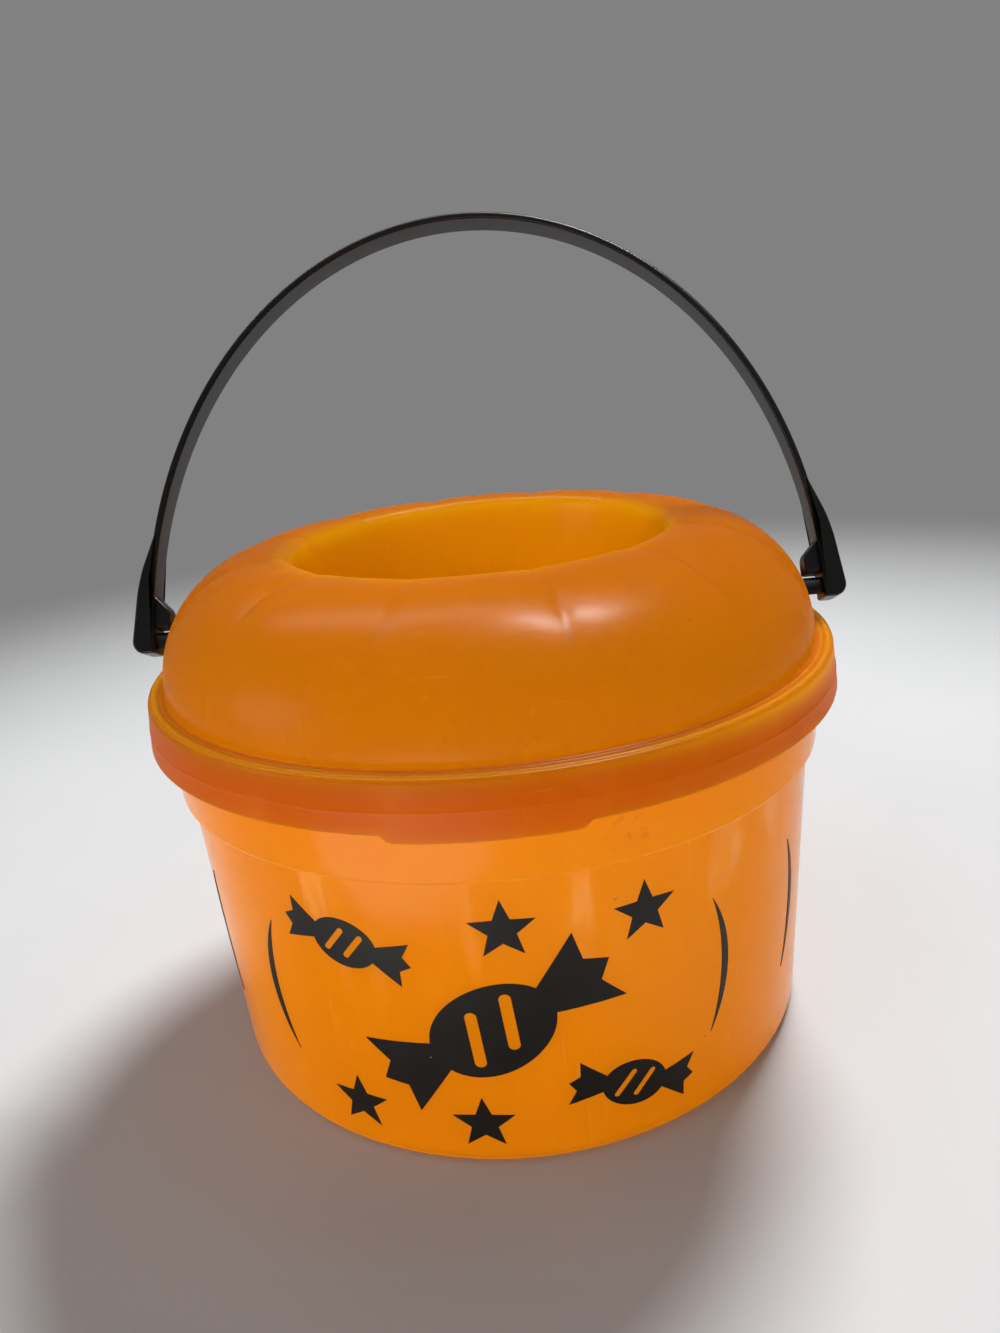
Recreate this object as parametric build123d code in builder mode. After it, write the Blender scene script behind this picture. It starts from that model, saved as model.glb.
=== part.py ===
"""Pumpkin candy pail: a tapered bucket, a lobed lid with a central well, and a bail handle on two studs.

Frame: +Z up, origin at the centre of the base, the printed front faces -Y, the studs lie along X.
All sizes are in millimetres.
"""
import math
import os

from build123d import *

# Bucket
base_radius = 85.0
body_top_radius = 88.7
step_height = 82.0
collar_step = 2.2
collar_flare = 0.7
rim_height = 107.0
bucket_wall = 1.4
base_thickness = 1.8
base_corner_radius = 3.5
step_corner_radius = 0.6
rim_reach = 1.6
rim_depth = 3.0

# Lid
lid_wall = 1.4
lid_side_gap = 0.4
lid_seat_gap = 0.2
ledge_width = 4.6
ledge_height = 1.6
flange_corner_radius = 1.0
skirt_drop = 10.6
skirt_flare = 1.3
skirt_lip_radius = 0.5
dome_radius = 31.0
dome_foot = 1.0
well_rim_width = 7.0
well_depth = 29.0
well_draft = 5.0
well_corner_radius = 6.0
well_rim_radius = 3.0
ring_line_width = 0.5
ring_line_height = 0.3
ring_line_spacing = 1.7

# Lobes of the lid: a shallow vee between each two, deepest at the well and fading out down the dome
lobe_count = 12
crease_depth = 1.2
crease_shift = 1.4
crease_half_angle = 75.0
crease_start = -28.0
crease_end = 64.0

# Lift tab at the front of the skirt
tab_width = 44.0
tab_drop = 1.8
tab_corner_radius = 1.2

# Handle
handle_lean = 25.0
pivot_rise = 7.4
pin_radius = 2.4
pin_gap = 0.35
head_radius = 3.1
head_length = 1.8
head_chamfer = 0.7
strap_width = 8.0
strap_thickness = 2.0
strap_edge_radius = 0.8
arch_clearance = 5.0
arch_rise = 118.0
arch_foot = 2.6
paddle_width = 9.0
paddle_thickness = 6.3
paddle_drop = 3.9
paddle_shoulder_height = 17.5
paddle_shoulder_thickness = 4.0
paddle_rise = 26.0
paddle_end_radius = 3.4
gusset_gap = 0.7
gusset_top = 13.2
gusset_tip = 8.5
gusset_foot = 3.2
gusset_width = 6.0
gusset_tip_radius = 1.2

# Print on the front of the bucket: wrapped sweets, stars and rib strokes, placed round the wall by angle
ink_thickness = 0.15
print_turn = -2.5
large_sweet_length = 64.0
large_sweet_tilt = 30.0
small_sweet_length = 34.0
small_sweet_tilt = -15.0
small_sweet_angle = 22.0
small_sweet_rise = 22.0
star_radius = 8.0
star_waist = 3.4
star_points = 5
side_star_angle = 24.5
side_star_rise = 26.0
middle_star_angle = 3.0
middle_star_rise = 27.5
rib_stroke_length = 39.0
rib_stroke_width = 2.2
rib_stroke_bow = 3.6
rib_stroke_rise = 2.5
inner_rib_angle = 37.0
outer_rib_angle = 59.5

# Heights and radii that follow from the sizes above
collar_radius = body_top_radius + collar_step
collar_top_radius = collar_radius + collar_flare
rim_radius = collar_top_radius + rim_reach
skirt_inner_radius = rim_radius + lid_side_gap
flange_radius = skirt_inner_radius + lid_wall
flange_bottom = rim_height + lid_seat_gap
flange_top = flange_bottom + ledge_height
dome_outer_radius = flange_radius - ledge_width
crest_radius = dome_outer_radius - dome_radius
dome_centre_height = flange_top + dome_foot
crest_height = dome_centre_height + dome_radius
well_radius = crest_radius - well_rim_width
well_floor_height = crest_height - well_depth
well_floor_radius = well_radius - well_draft
skirt_bottom = flange_bottom - skirt_drop
skirt_bottom_radius = flange_radius + skirt_flare
pivot_height = flange_top + pivot_rise
arch_half_width = dome_outer_radius + arch_clearance + strap_thickness
paddle_inner = arch_half_width - strap_thickness
paddle_outer = paddle_inner + paddle_thickness
gusset_inner = dome_outer_radius + gusset_gap
stud_root = paddle_inner + strap_thickness / 2
body_taper = (body_top_radius - base_radius) / step_height
print_middle = step_height / 2

os.makedirs("parts", exist_ok=True)


def finish(builder, name):
    """Name a finished piece and write it to its own file."""
    builder.part.label = name
    export_step(builder.part, f"parts/{name}.step")


# Bucket: one turned shell, tapered body, wider collar, rim bead, rounded base corner
with BuildPart() as bucket:
    with BuildSketch(Plane.XZ) as bucket_section:
        with BuildLine():
            Polyline(
                (0, 0),
                (base_radius, 0),
                (body_top_radius, step_height),
                (collar_radius, step_height),
                (collar_top_radius, rim_height - rim_depth),
                (rim_radius, rim_height - rim_depth),
                (rim_radius, rim_height),
                (collar_top_radius - bucket_wall, rim_height),
                (collar_radius - bucket_wall, step_height + bucket_wall),
                (body_top_radius - bucket_wall, step_height + bucket_wall),
                (base_radius - bucket_wall + body_taper * base_thickness, base_thickness),
                (0, base_thickness),
                close=True,
            )
        make_face()
        base_corner = bucket_section.vertices().sort_by_distance((base_radius, 0))[0]
        fillet(base_corner, base_corner_radius)
        step_corner = bucket_section.vertices().sort_by_distance((collar_radius, step_height))[0]
        fillet(step_corner, step_corner_radius)
    revolve(axis=Axis.Z)
finish(bucket, "bucket")


def crease_ring(depth):
    """A vee-shaped ring that follows the dome; its apex runs `depth` under the dome's surface."""
    apex_radius = dome_radius - depth
    reach = depth + dome_radius / 4
    half_width = reach * math.tan(math.radians(crease_half_angle))
    centre = (crest_radius + crease_shift, 0, dome_centre_height)
    start = math.radians(crease_start)
    outward = (math.sin(start), 0, math.cos(start))
    with BuildPart(mode=Mode.PRIVATE) as ring:
        with BuildSketch(Plane(origin=centre, x_dir=(0, 1, 0), z_dir=(outward[2], 0, -outward[0]))):
            Polygon(
                (0, apex_radius),
                (half_width, apex_radius + reach),
                (-half_width, apex_radius + reach),
                align=None,
            )
        revolve(axis=Axis(centre, (0, 1, 0)), revolution_arc=crease_end - crease_start)
    return ring.part


# Hollow under the lid: everything below the shell, with the same creases one wall deeper
with BuildPart() as lid_hollow:
    with BuildSketch(Plane.XZ):
        with BuildLine():
            FilletPolyline(
                (0, well_floor_height - lid_wall),
                (well_floor_radius + lid_wall, well_floor_height - lid_wall),
                (well_radius + lid_wall, crest_height - lid_wall),
                (crest_radius, crest_height - lid_wall),
                radius=[well_corner_radius + lid_wall, well_rim_radius - lid_wall],
            )
            CenterArc((crest_radius, dome_centre_height), dome_radius - lid_wall, 0, 90)
            Polyline(
                (dome_outer_radius - lid_wall, dome_centre_height),
                (dome_outer_radius - lid_wall, flange_bottom),
                (skirt_inner_radius, flange_bottom),
                (skirt_inner_radius + skirt_flare, skirt_bottom),
                (skirt_inner_radius + skirt_flare, skirt_bottom - tab_drop),
                (0, skirt_bottom - tab_drop),
                (0, well_floor_height - lid_wall),
            )
        make_face()
    revolve(axis=Axis.Z)
    with PolarLocations(0, lobe_count, start_angle=180 / lobe_count):
        add(crease_ring(crease_depth + lid_wall), mode=Mode.SUBTRACT)

# Lid: the outer shape with its creases, less the hollow, then ring lines, lift tab and stud holes
with BuildPart() as lid:
    with BuildSketch(Plane.XZ) as lid_section:
        with BuildLine():
            FilletPolyline(
                (0, well_floor_height),
                (well_floor_radius, well_floor_height),
                (well_radius, crest_height),
                (crest_radius, crest_height),
                radius=[well_corner_radius, well_rim_radius],
            )
            CenterArc((crest_radius, dome_centre_height), dome_radius, 0, 90)
            Polyline(
                (dome_outer_radius, dome_centre_height),
                (dome_outer_radius, flange_top),
                (flange_radius, flange_top),
                (skirt_bottom_radius, skirt_bottom),
                (0, skirt_bottom),
                (0, well_floor_height),
            )
        make_face()
        flange_corner = lid_section.vertices().sort_by_distance((flange_radius, flange_top))[0]
        fillet(flange_corner, flange_corner_radius)
        skirt_lip = lid_section.vertices().sort_by_distance((skirt_bottom_radius, skirt_bottom))[0]
        fillet(skirt_lip, skirt_lip_radius)
    revolve(axis=Axis.Z)
    with PolarLocations(0, lobe_count, start_angle=180 / lobe_count):
        add(crease_ring(crease_depth), mode=Mode.SUBTRACT)
    with BuildSketch(Plane.XZ):
        for ring in (1, 2):
            ring_radius = dome_outer_radius + ring * ring_line_spacing
            with Locations((ring_radius, flange_top)):
                Rectangle(ring_line_width, 2 * ring_line_height)
    revolve(axis=Axis.Z)
    add(lid_hollow.part, mode=Mode.SUBTRACT)
    with BuildSketch(Plane.XY.offset(skirt_bottom - tab_drop)):
        Circle(skirt_bottom_radius)
        Circle(skirt_inner_radius + skirt_flare, mode=Mode.SUBTRACT)
        with Locations((0, -skirt_bottom_radius)):
            Rectangle(tab_width, skirt_bottom_radius, mode=Mode.INTERSECT)
    extrude(amount=tab_drop + skirt_lip_radius)
    tab_ends = lid.edges().filter_by(Axis.Y).group_by(Axis.Z)[0]
    fillet(tab_ends, tab_corner_radius)
    for side in (-1, 1):
        with BuildSketch(Plane(origin=(side * crest_radius, 0, pivot_height), z_dir=(side, 0, 0))):
            Circle(pin_radius + pin_gap)
        extrude(amount=flange_radius - crest_radius, mode=Mode.SUBTRACT)
finish(lid, "lid")

# Handle: strap, paddles, gussets and studs, drawn in the plane of the arch and leaning back on the studs
lean = math.radians(handle_lean)
handle_plane = Plane(
    origin=(0, 0, pivot_height), x_dir=(1, 0, 0), z_dir=(0, -math.cos(lean), math.sin(lean))
)
head_top = pivot_rise + head_radius - dome_foot
head_seat = crest_radius + math.sqrt((dome_radius - lid_wall) ** 2 - head_top**2) - pin_gap

with BuildPart() as handle:
    with BuildSketch(handle_plane):
        with Locations((0, arch_foot)):
            Ellipse(arch_half_width, arch_rise)
            Ellipse(arch_half_width - strap_thickness, arch_rise - strap_thickness, mode=Mode.SUBTRACT)
        with Locations((0, arch_foot)):
            Rectangle(
                3 * arch_half_width, 2 * arch_rise, align=(Align.CENTER, Align.MIN), mode=Mode.INTERSECT
            )
    extrude(amount=strap_width / 2, both=True)
    fillet(handle.edges().filter_by(GeomType.ELLIPSE), strap_edge_radius)
    for side in (-1, 1):
        with BuildSketch(handle_plane) as paddle_outline:
            Polygon(
                (side * paddle_inner, -paddle_drop),
                (side * paddle_outer, -paddle_drop),
                (side * paddle_outer, 0),
                (side * (paddle_inner + paddle_shoulder_thickness), paddle_shoulder_height),
                (side * (paddle_inner + strap_thickness / 2), paddle_rise),
                (side * paddle_inner, paddle_shoulder_height),
                align=None,
            )
            end_corner = paddle_outline.vertices().sort_by_distance((side * paddle_outer, -paddle_drop))
            fillet(end_corner[0], paddle_end_radius)
        extrude(amount=paddle_width / 2, both=True)
        with BuildSketch(handle_plane) as gusset_outline:
            Polygon(
                (side * (paddle_inner + strap_thickness / 2), gusset_top),
                (side * paddle_inner, gusset_top),
                (side * gusset_inner, gusset_tip),
                (side * gusset_inner, gusset_foot),
                (side * (paddle_inner + strap_thickness / 2), gusset_foot),
                align=None,
            )
            tip_corner = gusset_outline.vertices().sort_by_distance(
                (side * gusset_inner, gusset_tip)
            )
            fillet(tip_corner[0], gusset_tip_radius)
        extrude(amount=gusset_width / 2, both=True)
        with BuildSketch(Plane.XZ):
            with BuildLine():
                Polyline(
                    (side * (head_seat - head_length), pivot_height),
                    (side * (head_seat - head_length), pivot_height + head_radius - head_chamfer),
                    (side * (head_seat - head_length + head_chamfer), pivot_height + head_radius),
                    (side * head_seat, pivot_height + head_radius),
                    (side * head_seat, pivot_height + pin_radius),
                    (side * stud_root, pivot_height + pin_radius),
                    (side * stud_root, pivot_height),
                    close=True,
                )
            make_face()
        revolve(axis=Axis((0, 0, pivot_height), (1, 0, 0)))
finish(handle, "handle")


def sweet(length):
    """Outline of a wrapped sweet: a round middle with two slits of shine and a fan of wrapper at each end."""
    half = length / 2
    with BuildSketch() as outline:
        Ellipse(0.5 * half, 0.38 * half)
        for side in (-1, 1):
            Polygon(
                (side * 0.4 * half, 0.1 * half),
                (side * 0.92 * half, 0.36 * half),
                (side * 0.86 * half, 0.12 * half),
                (side * half, 0),
                (side * 0.86 * half, -0.12 * half),
                (side * 0.92 * half, -0.36 * half),
                (side * 0.4 * half, -0.1 * half),
                align=None,
            )
            with Locations((side * 0.15 * half, 0)):
                SlotOverall(0.5 * half, 0.09 * half, rotation=65, mode=Mode.SUBTRACT)
    return outline.sketch


def star(radius):
    """Outline of a plain star, one point up."""
    corners = []
    for i in range(2 * star_points):
        reach = star_waist if i % 2 else radius
        angle = math.pi / 2 + i * math.pi / star_points
        corners.append((reach * math.cos(angle), reach * math.sin(angle)))
    with BuildSketch() as outline:
        Polygon(*corners, align=None)
    return outline.sketch


def rib_stroke(side):
    """Outline of one rib stroke: a thin bow with pointed ends that bulges away from the front."""
    half = rib_stroke_length / 2
    with BuildSketch() as outline:
        with BuildLine():
            ThreePointArc((0, -half), (side * (rib_stroke_bow + rib_stroke_width), 0), (0, half))
            ThreePointArc((0, half), (side * rib_stroke_bow, 0), (0, -half))
        make_face()
    return outline.sketch


def ink(name, shape, angle, rise, tilt=0):
    """One printed shape: a film on the wall, cut to the outline of the shape, `angle` round from the front."""
    turn = math.radians(angle + print_turn)
    facing = (math.sin(turn), -math.cos(turn), 0)
    with BuildPart() as film:
        with BuildSketch(Plane.XZ):
            Polygon(
                (base_radius, 0),
                (base_radius + ink_thickness, 0),
                (body_top_radius + ink_thickness, step_height),
                (body_top_radius, step_height),
                align=None,
            )
        revolve(axis=Axis.Z)
        with BuildSketch(Plane(origin=(0, 0, 0), x_dir=(-facing[1], facing[0], 0), z_dir=facing)):
            with Locations(Location((0, print_middle + rise), tilt)):
                add(shape)
        extrude(amount=2 * base_radius, mode=Mode.INTERSECT)
    finish(film, name)


ink("ink_sweet_large", sweet(large_sweet_length), 0, 0, large_sweet_tilt)
for place, up in (("upper", 1), ("lower", -1)):
    ink(
        f"ink_sweet_{place}",
        sweet(small_sweet_length),
        -up * small_sweet_angle,
        up * small_sweet_rise,
        small_sweet_tilt,
    )
    ink(f"ink_star_{place}_side", star(star_radius), up * side_star_angle, up * side_star_rise)
    ink(f"ink_star_{place}_middle", star(star_radius), up * middle_star_angle, up * middle_star_rise)
for place, side in (("left", -1), ("right", 1)):
    ink(f"ink_rib_{place}_inner", rib_stroke(side), side * inner_rib_angle, rib_stroke_rise)
    ink(f"ink_rib_{place}_outer", rib_stroke(side), side * outer_rib_angle, rib_stroke_rise)
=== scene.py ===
import math

import bmesh
import bpy
from mathutils import Matrix, Vector


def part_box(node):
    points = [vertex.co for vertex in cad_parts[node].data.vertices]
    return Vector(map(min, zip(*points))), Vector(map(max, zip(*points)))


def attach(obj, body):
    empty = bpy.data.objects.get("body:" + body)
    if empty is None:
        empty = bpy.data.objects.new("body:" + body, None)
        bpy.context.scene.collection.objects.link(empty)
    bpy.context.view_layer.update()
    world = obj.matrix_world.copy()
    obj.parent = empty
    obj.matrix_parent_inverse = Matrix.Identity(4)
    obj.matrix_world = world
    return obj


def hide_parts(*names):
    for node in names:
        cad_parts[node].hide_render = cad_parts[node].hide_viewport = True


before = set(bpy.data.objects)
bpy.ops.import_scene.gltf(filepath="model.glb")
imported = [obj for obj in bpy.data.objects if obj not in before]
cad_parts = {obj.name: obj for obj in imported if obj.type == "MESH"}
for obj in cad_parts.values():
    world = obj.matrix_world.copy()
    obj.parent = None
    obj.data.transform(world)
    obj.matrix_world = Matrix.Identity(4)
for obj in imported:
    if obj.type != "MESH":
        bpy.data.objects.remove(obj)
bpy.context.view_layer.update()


# Bucket: the tub that holds the sweets, with a wider collar under the lid and a bead round its rim.
# It is one thin injection moulding in translucent orange polypropylene, so a single wall section is
# turned round the pail's middle, and the plastic lets light through.
def turned(outline, rounded, steps, longest):
    """Spins a wall section of (radius, height) points round Z. The numbered corners in rounded get
    an arc of a length and a count of segments, and no straight run is left longer than longest."""
    made = bmesh.new()
    points = [made.verts.new((radius, 0, height)) for radius, height in outline]
    for start, end in zip(points, points[1:]):
        made.edges.new((start, end))
    for number, (length, segments) in rounded.items():
        bmesh.ops.bevel(made, geom=[points[number]], offset=length, offset_type="OFFSET",
                        segments=segments, profile=0.5, affect="VERTICES", material=-1)
    for edge in list(made.edges):
        cuts = int(edge.calc_length() / longest)
        if cuts:
            bmesh.ops.subdivide_edges(made, edges=[edge], cuts=cuts)
    bmesh.ops.spin(made, geom=made.verts[:] + made.edges[:], cent=(0, 0, 0), axis=(0, 0, 1),
                   angle=math.tau, steps=steps, use_merge=True)
    bmesh.ops.remove_doubles(made, verts=made.verts[:], dist=1e-6)
    bmesh.ops.recalc_face_normals(made, faces=made.faces[:])
    return made


def piece(name, made, material, body, node):
    """Makes a finished bmesh an object that rides on a body and stands for that body's CAD node."""
    mesh = bpy.data.meshes.new(name)
    made.to_mesh(mesh)
    made.free()
    mesh.materials.append(material)
    mesh.shade_smooth()
    item = bpy.data.objects.new(name, mesh)
    bpy.context.scene.collection.objects.link(item)
    flats = item.modifiers.new("flats_shaded_flat", "WEIGHTED_NORMAL")
    flats.keep_sharp = True
    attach(item, body)
    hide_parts(node)
    return item


class Wire:
    """A socket in a material's nodes. Arithmetic on wires adds Math nodes."""

    def __init__(self, tree, socket=None):
        self.tree = tree
        self.socket = socket

    def add(self, kind, settings, sockets, output=0):
        """Adds a node, with its settings first and then the values or links of its sockets."""
        node = self.tree.nodes.new(kind)
        for name, value in settings.items():
            setattr(node, name, value)
        for key, value in sockets.items():
            if isinstance(value, Wire):
                self.tree.links.new(value.socket, node.inputs[key])
            else:
                node.inputs[key].default_value = value
        return Wire(self.tree, node.outputs[output])

    def beside(self, output):
        """Another output of the same node."""
        return Wire(self.tree, self.socket.node.outputs[output])

    def math(self, operation, first, second):
        return self.add("ShaderNodeMath", {"operation": operation}, {0: first, 1: second})

    def __add__(self, other):
        return self.math("ADD", self, other)

    __radd__ = __add__

    def __mul__(self, other):
        return self.math("MULTIPLY", self, other)

    __rmul__ = __mul__

    def __sub__(self, other):
        return self.math("SUBTRACT", self, other)

    def __rsub__(self, other):
        return self.math("SUBTRACT", other, self)

    def noise(self, scale, detail=2.0, stretch=(1, 1, 1), turn=(0, 0, 0)):
        """Noise on these coordinates, stretched and turned by a Mapping node."""
        laid = self.add("ShaderNodeMapping", {}, {"Vector": self, "Rotation": turn, "Scale": stretch})
        return self.add("ShaderNodeTexNoise", {}, {"Vector": laid, "Scale": scale, "Detail": detail})

    def between(self, low, high):
        """A smooth rise from 0 to 1 as the value goes from low to high."""
        return self.add("ShaderNodeMapRange", {"interpolation_type": "SMOOTHSTEP"},
                        {"Value": self, "From Min": low, "From Max": high})

    def tint(self, under, over):
        """Two colours mixed, with this wire as the share of the second."""
        return self.add("ShaderNodeMix", {"data_type": "RGBA"}, {0: self, 6: under, 7: over}, output=2)

    def specks(self, scale, size, share):
        """Scattered round specks: one in some of the cells of a Voronoi texture."""
        cells = self.add("ShaderNodeTexVoronoi", {}, {"Vector": self, "Scale": scale})
        lot = self.add("ShaderNodeSeparateColor", {}, {"Color": cells.beside("Color")})
        return (1 - cells.between(size * 0.5, size)) * lot.between(1 - share, 1 - share * 0.9)


def new_material(name):
    """A material, its Principled shader and its Object coordinates."""
    material = bpy.data.materials.new(name)
    material.use_nodes = True
    shader = material.node_tree.nodes["Principled BSDF"]
    place = Wire(material.node_tree).add("ShaderNodeTexCoord", {}, {}, output="Object")
    return material, shader, place


def finish_with(shader, **wires):
    """Links wires to the shader's sockets, which are named with _ for a space."""
    for name, wire in wires.items():
        wire.tree.links.new(wire.socket, shader.inputs[name.replace("_", " ")])


def orange_plastic(name, plain, deep, pale, through, clarity, dull, gloss, gleam, shade_from, shade_full,
                   highlight_lines_at, grime_at, soil_and_streak_sheen):
    """Translucent polypropylene: cloudy colour with moulding streaks, a painted shade that deepens the
    colour from the height shade_from to shade_full, painted highlight lines at the heights in
    highlight_lines_at, specks of dirt, hairlines, a soiled band at grime_at and painted reflection
    streaks below that band, on a faintly uneven surface. Clarity is the share of light let through, dull
    the roughness, gloss the specular level, and gleam how much more its edges mirror.
    soil_and_streak_sheen sets the strength of the soiled band and of the painted streaks."""
    material, shader, place = new_material(name)
    height = place.add("ShaderNodeSeparateXYZ", {}, {"Vector": place}, output="Z")
    cloud = place.noise(16, 3)
    streaks = place.noise(1, 3, stretch=(95, 95, 14))
    dirt = place.specks(190, 0.10, 0.016)
    dust = place.specks(330, 0.09, 0.03)
    upright = place.noise(1, 2, stretch=(800, 800, 20))
    level = place.noise(1, 2, stretch=(60, 60, 900), turn=(0.0, 0.45, 0.2))
    slanting = place.noise(1, 2, stretch=(900, 700, 55), turn=(0.2, 0.7, 0.0))
    hairlines = upright.between(0.66, 0.72) + level.between(0.68, 0.74) + slanting.between(0.69, 0.75)
    hairlines = hairlines * place.noise(30, 2).between(0.46, 0.60)
    # Painted highlights: pale lines at the given heights, along edges that catch the light.
    highlight_line = 0
    for edge in highlight_lines_at:
        over_edge = height.between(edge + 0.0002, edge + 0.0005)
        highlight_line = highlight_line + height.between(edge - 0.0003, edge) * (1 - over_edge)
    band = height.between(grime_at - 0.011, grime_at - 0.006)
    band = band * (1 - height.between(grime_at + 0.006, grime_at + 0.011)) * soil_and_streak_sheen
    grime = band * place.noise(420, 4).between(0.54, 0.66) * place.noise(60, 2).between(0.56, 0.66)
    # Painted reflections: pale vertical streaks on the wall below the soiled band stand in for reflections
    # of the lit floor; there the plastic also lets less light through and is rougher.
    reflection_streaks = height.between(grime_at - 0.045, grime_at - 0.01)
    reflection_streaks = reflection_streaks * (1 - height.between(grime_at - 0.005, grime_at - 0.004))
    reflection_streaks = reflection_streaks * streaks.between(0.50, 0.66) * place.noise(35, 2).between(0.42, 0.58) * soil_and_streak_sheen
    # Painted shade: the colour deepens by height, up the bucket's collar and down the lid's skirt, where
    # less light reaches.
    painted_shade = height.between(shade_from, shade_full)
    colour = (cloud.between(0.3, 0.7) * 0.75 + streaks.between(0.35, 0.7) * 0.25).tint(deep, plain)
    colour = (painted_shade * 0.5).tint(colour, (deep[0] * 1.1, deep[1] * 0.5, 0.0, 1))
    colour = (hairlines * 0.35 + dust * 0.5 + highlight_line * 0.55 + reflection_streaks * 2.0).tint(colour, pale)
    colour = (dirt * 0.8 + grime).tint(colour, (0.12, 0.032, 0.004, 1))
    rough = dull + cloud * 0.08 + hairlines * 0.15 + grime * 0.3 + reflection_streaks * 0.3
    grain = place.noise(2100, 1)
    ripple = place.noise(45, 2) * 0.5 + streaks * 0.22 + grain * (dull * 0.16) + hairlines * 0.02
    bump = place.add("ShaderNodeBump", {}, {"Strength": 0.22, "Distance": 0.0012, "Height": ripple})
    finish_with(shader, Base_Color=colour, Roughness=rough, Normal=bump)
    shader.inputs["IOR"].default_value = 1.5
    shader.inputs["Specular IOR Level"].default_value = gloss
    glow = place.add("ShaderNodeBsdfTranslucent", {}, {"Color": through, "Normal": bump})
    sheen = place.add("ShaderNodeLayerWeight", {}, {"Blend": 0.5}, output="Facing").between(0.45, 1.0)
    clear = (clarity + cloud * 0.06 - dirt * 0.45 - grime * 0.4 - reflection_streaks * 0.5) * (1 - sheen * gleam)
    skin = Wire(place.tree, shader.outputs[0])
    mixed = place.add("ShaderNodeMixShader", {}, {0: clear, 1: skin, 2: glow})
    place.tree.links.new(mixed.socket, place.tree.nodes["Material Output"].inputs["Surface"])
    return material


base_radius = 0.085
base_corner = 0.0035
base_thickness = 0.0018
base_inner_radius = 0.08368
wall_thickness = 0.0014
shoulder_radius = 0.0887
step_height = 0.082
collar_radius = 0.0909
collar_top_radius = 0.0916
bead_bottom = 0.104
rim_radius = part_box("bucket")[1].x
rim_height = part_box("bucket")[1].z
bucket_outline = [
    (0, 0),
    (base_radius, 0),
    (shoulder_radius, step_height),
    (collar_radius, step_height),
    (collar_top_radius, bead_bottom),
    (rim_radius, bead_bottom),
    (rim_radius, rim_height),
    (collar_top_radius - wall_thickness, rim_height),
    (collar_radius - wall_thickness, step_height + wall_thickness),
    (shoulder_radius - wall_thickness, step_height + wall_thickness),
    (base_inner_radius, base_thickness),
    (0, base_thickness),
]
bucket_rounds = {1: (base_corner, 8), 2: (0.0004, 3), 3: (0.0007, 4), 4: (0.0004, 2), 5: (0.0005, 3),
                 6: (0.0007, 4), 7: (0.0005, 3), 8: (0.0005, 3), 9: (0.0005, 3), 10: (0.0025, 6)}
# The bucket's painted shade deepens the collar a little, a painted highlight line runs along the step, and
# painted reflection streaks run down the wall below the collar.
bucket_plastic = orange_plastic(
    "bucket_polypropylene",
    plain=(0.95, 0.30, 0.003, 1),
    deep=(0.91, 0.26, 0.002, 1),
    pale=(0.96, 0.50, 0.18, 1),
    through=(1.0, 0.79, 0.03, 1),
    clarity=0.78,
    dull=0.12,
    gloss=0.65,
    gleam=0.8,
    shade_from=0.08,
    shade_full=0.20,
    highlight_lines_at=(step_height + 0.0002,),
    grime_at=step_height + 0.004,
    soil_and_streak_sheen=0.4,
)
piece("bucket_shell", turned(bucket_outline, bucket_rounds, steps=192, longest=0.003), bucket_plastic,
      "bucket", "bucket")


# Print: wrapped sweets, stars and rib strokes in black ink, screen printed on the front of the bucket.
# The ink films are the CAD model's own shapes, each following the curve of the wall, with a satin ink
# that has worn through in pinholes and hairline scratches.
ink, ink_shader, ink_place = new_material("print_ink")
ink_cloud = ink_place.noise(120, 3)
pinholes = ink_place.specks(420, 0.10, 0.03)
ink_patches = ink_place.noise(60, 1).between(0.5, 0.6)
ink_scratches = ink_place.noise(1, 2, stretch=(420, 420, 26)).between(0.74, 0.80) * ink_patches
ink_colour = ink_cloud.tint((0.003, 0.003, 0.003, 1), (0.009, 0.007, 0.005, 1))
ink_colour = (pinholes * 0.7 + ink_scratches * 0.35).tint(ink_colour, (0.62, 0.17, 0.006, 1))
finish_with(ink_shader, Base_Color=ink_colour, Roughness=0.36 + ink_cloud * 0.16 + ink_scratches * 0.2)
ink_shader.inputs["Specular IOR Level"].default_value = 0.25
for node_name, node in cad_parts.items():
    if node_name.startswith("ink_"):
        node.material_slots[0].material = ink


# Lid: a press-on dome with twelve pumpkin lobes and a deep round well, a flange with two ring lines,
# and a skirt with a lift tab at the front. One translucent moulding of the same plastic as the bucket,
# given darker colours as painted shade for the lesser light on it; its wall section is turned, then the
# creases between the lobes and the tab are pressed into it.
well_radius = 0.0474
well_floor = 0.1118
rim_of_well = 0.0524
lid_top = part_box("lid")[1].z
lid_wall = 0.0014
dome_radius = 0.0904
dome_round = 0.031
flange_top = 0.1088
flange_underside = 0.1072
flange_radius = 0.095
skirt_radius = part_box("lid")[1].x
skirt_bottom = 0.0966
lid_steps = 432
lid_outline = [(0, well_floor), (well_radius, well_floor), (rim_of_well, lid_top), (dome_radius, lid_top),
               (dome_radius, flange_top)]
lid_rounds = {1: (0.0050, 8), 2: (0.0028, 8), 3: (dome_round, 44), 4: (0.0006, 3)}
for ring_radius in (0.0921, 0.0938):
    for across, up in ((-0.00035, 0), (-0.00015, 0.0003), (0.00015, 0.0003), (0.00035, 0)):
        lid_outline.append((ring_radius + across, flange_top + up))
lid_rounds[len(lid_outline)] = (0.0010, 5)
lid_outline.append((flange_radius, flange_top))
for down, out in ((0.0066, 0.0), (0.0069, 0.00014), (0.0073, 0.00014), (0.0076, 0.0)):
    share = down / (flange_top - skirt_bottom)
    lid_outline.append((flange_radius + (skirt_radius - flange_radius) * share + out, flange_top - down))
inner_rounds = ((0.0005, 3), (0.0004, 3), (0.0008, 3), (0.0004, 3), (dome_round - lid_wall, 36), (0.0020, 6),
                (0.0060, 8))
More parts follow.
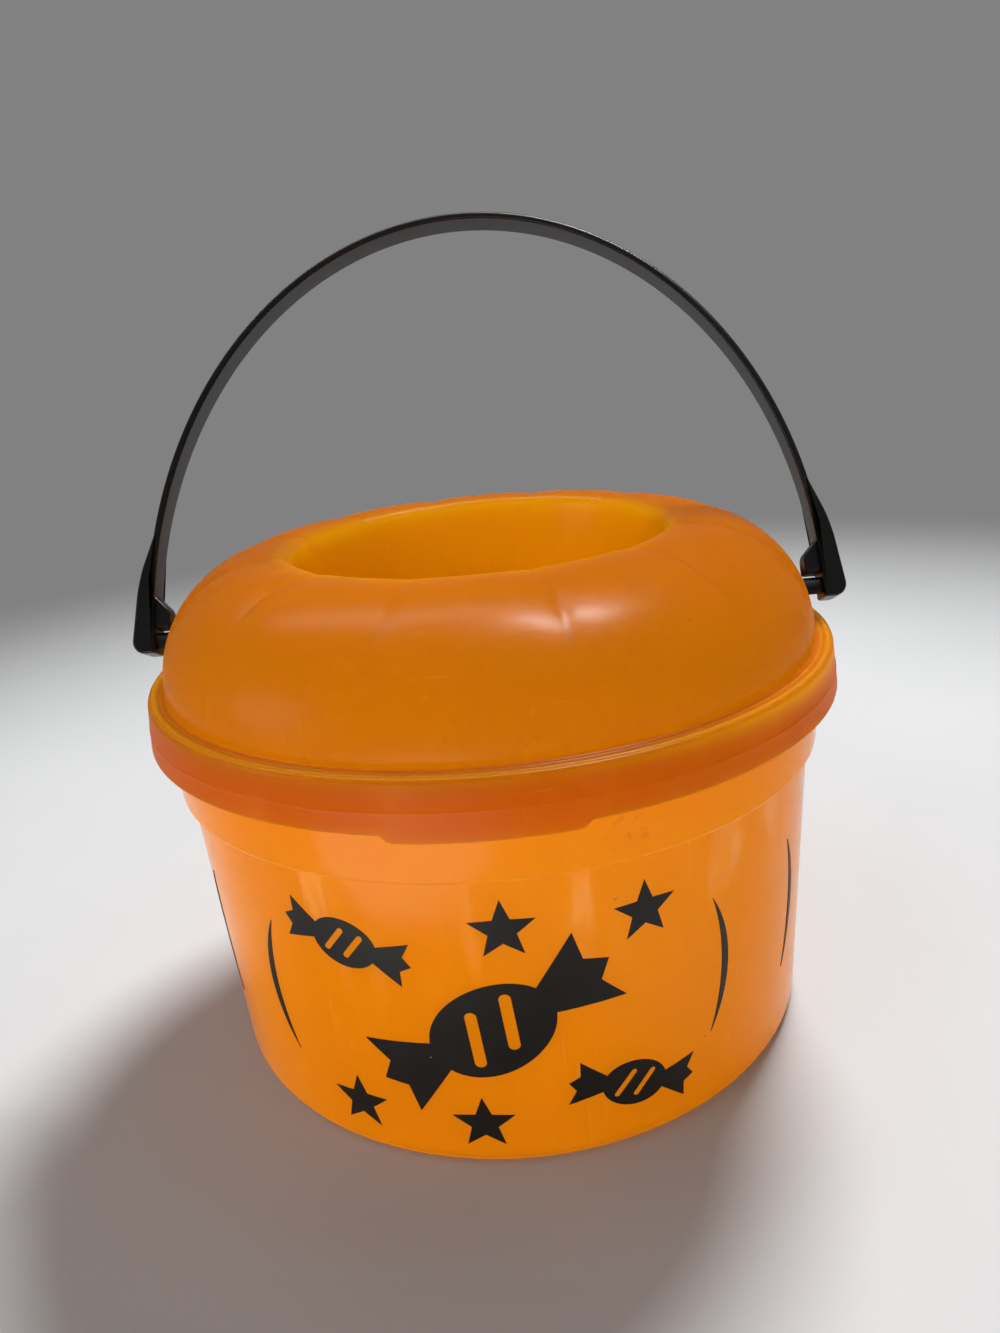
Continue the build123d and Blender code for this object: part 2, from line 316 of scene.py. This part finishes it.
lid_rounds.update(enumerate(inner_rounds, len(lid_outline)))
lid_outline += [
    (skirt_radius, skirt_bottom),
    (skirt_radius - lid_wall, skirt_bottom),
    (flange_radius - lid_wall, flange_underside),
    (dome_radius - lid_wall, flange_underside),
    (dome_radius - lid_wall, lid_top - lid_wall),
    (rim_of_well + lid_wall, lid_top - lid_wall),
    (well_radius + lid_wall, well_floor - lid_wall),
    (0, well_floor - lid_wall),
]
lid_mesh = turned(lid_outline, lid_rounds, lid_steps, longest=0.003)

lobe_half = math.radians(15)
crest_radius = dome_radius - dome_round
dome_middle = lid_top - dome_round
crease_depth = 0.0009
crease_sharpness = 4.5
end_notch = 1.4
rim_ease = 0.6
crease_end = math.radians(68)
crease_fade = math.radians(40)
crease_foot = lid_top - 0.006
tab_half_width = 0.022
tab_drop = 0.0018
tab_height = 0.0012
tab_slope = 0.0016
for vert in lid_mesh.verts:
    radius = math.hypot(vert.co.x, vert.co.y)
    if radius > 0.001 and vert.co.z > flange_top:
        outward = Vector((vert.co.x, vert.co.y, 0)) / radius
        lean = math.atan2(radius - crest_radius, vert.co.z - dome_middle)
        from_lobe = 1 - abs((math.atan2(vert.co.y, vert.co.x) % (2 * lobe_half)) / lobe_half - 1)
        depth = crease_depth * min(1.0, max(0.0, (crease_end - lean) / crease_fade))
        depth *= from_lobe ** crease_sharpness
        inward = (outward * crest_radius + Vector((0, 0, dome_middle)) - vert.co).normalized()
        if radius < crest_radius:
            at_rim = min(1.0, (crest_radius - radius) / (crest_radius - rim_of_well))
            into_dome = outward * 0.95 + Vector((0, 0, -0.3))
            inward = inward.lerp(into_dome, at_rim)
            depth *= 1 + at_rim * (end_notch * outward.x ** 4 - rim_ease)
            depth *= min(1.0, max(0.0, (vert.co.z - crease_foot) / (lid_top - crease_foot)))
        vert.co += inward * depth
    if vert.co.z < skirt_bottom + tab_height and radius > flange_radius - lid_wall and vert.co.y < 0:
        inside = (tab_half_width - abs(vert.co.x)) / tab_slope
        vert.co.z -= tab_drop * min(1.0, max(0.0, inside))

# The lid's darker colours are painted shade; its painted shade deepens the skirt, and painted highlight
# lines run along the ledge and the skirt's lower edge.
lid_plastic = orange_plastic(
    "lid_polypropylene",
    plain=(0.40, 0.090, 0.001, 1),
    deep=(0.355, 0.076, 0.001, 1),
    pale=(0.95, 0.30, 0.05, 1),
    through=(0.98, 0.75, 0.010, 1),
    clarity=0.73,
    dull=0.24,
    gloss=0.4,
    gleam=0.1,
    shade_from=flange_top - 0.0006,
    shade_full=flange_top - 0.003,
    highlight_lines_at=(flange_top + 0.0001, skirt_bottom - tab_drop),
    grime_at=0.112,
    soil_and_streak_sheen=0.10,
)
lid = piece("lid_shell", lid_mesh, lid_plastic, "lid", "lid")

stud_height = 0.1162
stud_hole = 0.00275
drill_middle = 0.083
drill_length = 0.03
drill_mesh = bpy.data.meshes.new("drill")
drill_form = bmesh.new()
for side in (1, -1):
    drill_place = Matrix.Translation((side * drill_middle, 0, stud_height))
    bmesh.ops.create_cone(drill_form, cap_ends=True, segments=48, radius1=stud_hole, radius2=stud_hole,
                          depth=drill_length, matrix=drill_place @ Matrix.Rotation(math.pi / 2, 4, "Y"))
drill_form.to_mesh(drill_mesh)
drill_form.free()
drill = bpy.data.objects.new("drill", drill_mesh)
bpy.context.scene.collection.objects.link(drill)
cut = lid.modifiers.new("stud_holes", "BOOLEAN")
cut.object = drill
cut.solver = "EXACT"
lid.modifiers.move(1, 0)
lid.modifiers["flats_shaded_flat"].show_viewport = False
drilled = bpy.data.meshes.new_from_object(lid.evaluated_get(bpy.context.evaluated_depsgraph_get()))
lid.modifiers.remove(cut)
lid.modifiers["flats_shaded_flat"].show_viewport = True
lid.data = drilled
bpy.data.objects.remove(drill)


# Handle: a black bail, an arched strap with a thick paddle, a gusset and an inward stud at each end.
# It is one stiff, glossy moulding; the studs' heads are pressed through the holes in the lid's dome,
# so the strap, paddles, gussets and studs are shaped upright and then leaned back together.
def plate(outline, rounded, width, edge):
    """A flat plate in the XZ plane with some corners rounded, its thickness along Y, and eased edges."""
    made = bmesh.new()
    corners = [made.verts.new((x, -width / 2, z)) for x, z in outline]
    made.faces.new(corners)
    for number, (length, segments) in rounded.items():
        bmesh.ops.bevel(made, geom=[corners[number]], offset=length, offset_type="OFFSET", segments=segments,
                        profile=0.5, affect="VERTICES", material=-1)
    grown = bmesh.ops.extrude_face_region(made, geom=made.faces[:], use_keep_orig=True)["geom"]
    far_corners = [v for v in grown if isinstance(v, bmesh.types.BMVert)]
    bmesh.ops.translate(made, verts=far_corners, vec=(0, width, 0))
    bmesh.ops.recalc_face_normals(made, faces=made.faces[:])
    rims = [e for e in made.edges if abs(e.verts[0].co.y - e.verts[1].co.y) < 1e-6]
    bmesh.ops.bevel(made, geom=rims, offset=edge, offset_type="OFFSET", segments=3, profile=0.5,
                    affect="EDGES", material=-1)
    return made


def join(target, made):
    """Adds a finished bmesh to another."""
    mesh = bpy.data.meshes.new("joined")
    made.to_mesh(mesh)
    made.free()
    target.from_mesh(mesh)
    bpy.data.meshes.remove(mesh)


handle_lean = math.radians(25)
strap_width = 0.008
strap_thickness = 0.002
strap_edge = 0.0008
arch_width = 0.0974
arch_rise = 0.118
arch_foot = 0.0026
paddle_width = 0.009
handle_mesh = bmesh.new()
foot = [handle_mesh.verts.new((1, y, 0)) for y in (-strap_width / 2, strap_width / 2)]
handle_mesh.edges.new(foot)
bmesh.ops.spin(handle_mesh, geom=handle_mesh.verts[:] + handle_mesh.edges[:], cent=(0, 0, 0),
               axis=(0, -1, 0), angle=math.pi, steps=120)
bmesh.ops.scale(handle_mesh, verts=handle_mesh.verts[:], vec=(arch_width, 1, arch_rise))
bmesh.ops.translate(handle_mesh, verts=handle_mesh.verts[:], vec=(0, 0, arch_foot))
bmesh.ops.recalc_face_normals(handle_mesh, faces=handle_mesh.faces[:])
if handle_mesh.faces[:][0].normal.x < 0:
    bmesh.ops.reverse_faces(handle_mesh, faces=handle_mesh.faces[:])
bmesh.ops.solidify(handle_mesh, geom=handle_mesh.faces[:], thickness=strap_thickness)
bmesh.ops.recalc_face_normals(handle_mesh, faces=handle_mesh.faces[:])
strap_rims = [e for e in handle_mesh.edges if len(e.link_faces) == 2 and e.calc_face_angle() > 1.0
              and abs(e.verts[0].co.y - e.verts[1].co.y) < 1e-6]
bmesh.ops.bevel(handle_mesh, geom=strap_rims, offset=strap_edge, offset_type="OFFSET", segments=4,
                profile=0.5, affect="EDGES", material=-1)

paddle_outline = [(0.0954, -0.0039), (0.1017, -0.0039), (0.1017, 0), (0.0994, 0.0175), (0.0942, 0.031),
                  (0.0930, 0.031), (0.0954, 0.0175)]
ends = plate(paddle_outline, {0: (0.0008, 3), 1: (0.0034, 8), 3: (0.005, 6)}, paddle_width, 0.0008)
gusset_width = 0.006
gusset_outline = [(0.0964, 0.0132), (0.0954, 0.0132), (0.0911, 0.0085), (0.0911, 0.0032), (0.0964, 0.0032)]
join(ends, plate(gusset_outline, {2: (0.0012, 4), 3: (0.0008, 3)}, gusset_width, 0.0006))
stud_radius = 0.0024
stud_head_radius = 0.0031
stud_tip = 0.0853
stud_neck = 0.0871
stud_root = 0.0964
stud_outline = [(0, stud_tip), (stud_head_radius, stud_tip), (stud_head_radius, stud_neck),
                (stud_radius, stud_neck), (stud_radius, stud_root), (0, stud_root)]
stud_mesh = turned(stud_outline, {1: (0.0007, 3), 2: (0.0003, 2), 3: (0.0003, 2)}, steps=48, longest=0.002)
bmesh.ops.rotate(stud_mesh, verts=stud_mesh.verts[:], cent=(0, 0, 0),
                 matrix=Matrix.Rotation(math.pi / 2, 3, "Y"))
join(ends, stud_mesh)
bmesh.ops.mirror(ends, geom=ends.verts[:] + ends.edges[:] + ends.faces[:], matrix=Matrix.Identity(4),
                 merge_dist=1e-6, axis="X")
bmesh.ops.recalc_face_normals(ends, faces=ends.faces[:])
join(handle_mesh, ends)
bmesh.ops.rotate(handle_mesh, verts=handle_mesh.verts[:], cent=(0, 0, 0),
                 matrix=Matrix.Rotation(-handle_lean, 3, "X"))
bmesh.ops.translate(handle_mesh, verts=handle_mesh.verts[:], vec=(0, 0, stud_height))

handle_plastic, handle_shader, handle_place = new_material("handle_gloss")
handle_cloud = handle_place.noise(70, 3)
nicks = handle_place.noise(1, 2, stretch=(500, 60, 60), turn=(0.3, 0.2, 0.6)).between(0.73, 0.80)
lint = handle_place.specks(260, 0.10, 0.05)
handle_colour = handle_cloud.tint((0.0012, 0.001, 0.001, 1), (0.004, 0.0035, 0.003, 1))
handle_colour = (nicks * 0.15 + lint * 0.25).tint(handle_colour, (0.10, 0.095, 0.09, 1))
handle_ripple = handle_place.noise(110, 2) * 0.5 + handle_place.noise(1500, 2) * 0.03
handle_bump = handle_place.add("ShaderNodeBump", {},
                               {"Strength": 0.10, "Distance": 0.0005, "Height": handle_ripple})
handle_x = handle_place.add("ShaderNodeSeparateXYZ", {}, {"Vector": handle_place}, output="X")
handle_z = handle_x.beside("Z")
past_studs = handle_x.math("ABSOLUTE", handle_x, 0).between(0.0940, 0.0956)
rubbed = (1 - past_studs) * (1 - handle_z.between(0.120, 0.122))
handle_rough = 0.26 + handle_cloud * 0.12 + nicks * 0.15 + rubbed * 0.4
finish_with(handle_shader, Base_Color=handle_colour, Roughness=handle_rough, Normal=handle_bump)
handle_shader.inputs["Specular IOR Level"].default_value = 0.3
piece("bail_handle", handle_mesh, handle_plastic, "handle", "handle")


# Floor: a plain pale table top under the pail. It is only the stage, and fades to the background's own
# grey at a distance, so no horizon shows.
background = (0.22, 0.22, 0.22, 1)
floor_radius = 40
fade_from = 0.22
fade_to = 0.75
floor_form = bmesh.new()
bmesh.ops.create_circle(floor_form, cap_ends=True, segments=128, radius=floor_radius)
floor_mesh = bpy.data.meshes.new("floor")
floor_form.to_mesh(floor_mesh)
floor_form.free()
floor_paint, floor_shader, floor_place = new_material("floor_paint")
floor_cloud = floor_place.noise(9, 3)
finish_with(floor_shader, Base_Color=floor_cloud.tint((0.41, 0.415, 0.42, 1), (0.45, 0.455, 0.46, 1)),
            Roughness=0.5 + floor_cloud * 0.1)
floor_shader.inputs["Specular IOR Level"].default_value = 0.1
far = floor_place.add("ShaderNodeVectorMath", {"operation": "LENGTH"}, {0: floor_place}, output="Value")
distance_glow = far.add("ShaderNodeEmission", {}, {"Color": background})
painted = Wire(far.tree, floor_shader.outputs[0])
fade = far.between(fade_from, fade_to)
faded = far.add("ShaderNodeMixShader", {}, {0: fade, 1: painted, 2: distance_glow})
far.tree.links.new(faded.socket, far.tree.nodes["Material Output"].inputs["Surface"])
floor_mesh.materials.append(floor_paint)
floor = bpy.data.objects.new("floor", floor_mesh)
bpy.context.scene.collection.objects.link(floor)


# Light: a broad window behind and to the right, which shines through the plastic, soft light from the
# left and the front, and four lamps that show only as reflections. The camera stands where the
# photograph was taken, a little above the pail and close to it.
def softbox(name, place, target, size, power, shines=True, mirrors=True, roll=0):
    """An oval area lamp, turned by roll. It shines on surfaces, shows as a reflection in them, or both."""
    lamp = bpy.data.lights.new(name, "AREA")
    lamp.shape = "ELLIPSE"
    lamp.size, lamp.size_y = size
    lamp.energy = power
    item = bpy.data.objects.new(name, lamp)
    aim = (Vector(target) - Vector(place)).to_track_quat("-Z", "Y")
    item.matrix_world = Matrix.Translation(place) @ aim.to_matrix().to_4x4() @ Matrix.Rotation(roll, 4, "Z")
    item.visible_diffuse = shines
    item.visible_glossy = mirrors
    bpy.context.scene.collection.objects.link(item)


softbox("window", (0.72, 1.42, 2.25), (0, 0, 0.09), (0.9, 0.8), 136, mirrors=False)
softbox("upper_left", (-0.65, -0.30, 1.30), (0, 0, 0.1), (0.8, 0.8), 2, mirrors=False)
softbox("left_fill", (-1.05, -0.80, 0.10), (0, 0, 0.03), (0.9, 0.3), 10, mirrors=False)
softbox("front_fill", (0.25, -1.25, 0.10), (0, 0, 0.03), (0.8, 0.3), 9, mirrors=False)
softbox("left_card", (-1.0, -0.35, 0.22), (0, 0, 0.08), (0.5, 0.5), 1.5, shines=False)
softbox("ceiling", (-0.25, 0.38, 1.35), (-0.25, 0.37, 0), (2.0, 0.36), 12, shines=False, roll=-0.33)
softbox("lamp", (0.37, 0.05, 1.35), (0.37, 0.04, 0), (0.5, 0.15), 18, shines=False, roll=-0.1)
softbox("lit_floor", (-0.125, -0.29, 0.002), (-0.125, -0.29, 1), (0.26, 0.30), 0.60, shines=False,
        roll=-0.28)
world = bpy.data.worlds.new("room")
world.use_nodes = True
sky = world.node_tree.nodes["Background"]
sky.inputs["Color"].default_value = background
bpy.context.scene.world = world

eye = Vector((0.01278, -0.277431, 0.193166))
right = Vector((0.99599, 0.00644, -0.08919))
up = Vector((0.08244, 0.32042, 0.94368))
forward = Vector((-0.03466, 0.94725, -0.3186))
focal_pixels = 1000
frame_pixels = 1333
camera_data = bpy.data.cameras.new("camera")
camera_data.lens = camera_data.sensor_width * focal_pixels / frame_pixels
camera_data.clip_start = 0.01
camera = bpy.data.objects.new("camera", camera_data)
camera.matrix_world = Matrix.Translation(eye) @ Matrix((right, up, -forward)).transposed().to_4x4()
bpy.context.scene.collection.objects.link(camera)
bpy.context.scene.camera = camera
bpy.context.scene.view_settings.view_transform = "Standard"
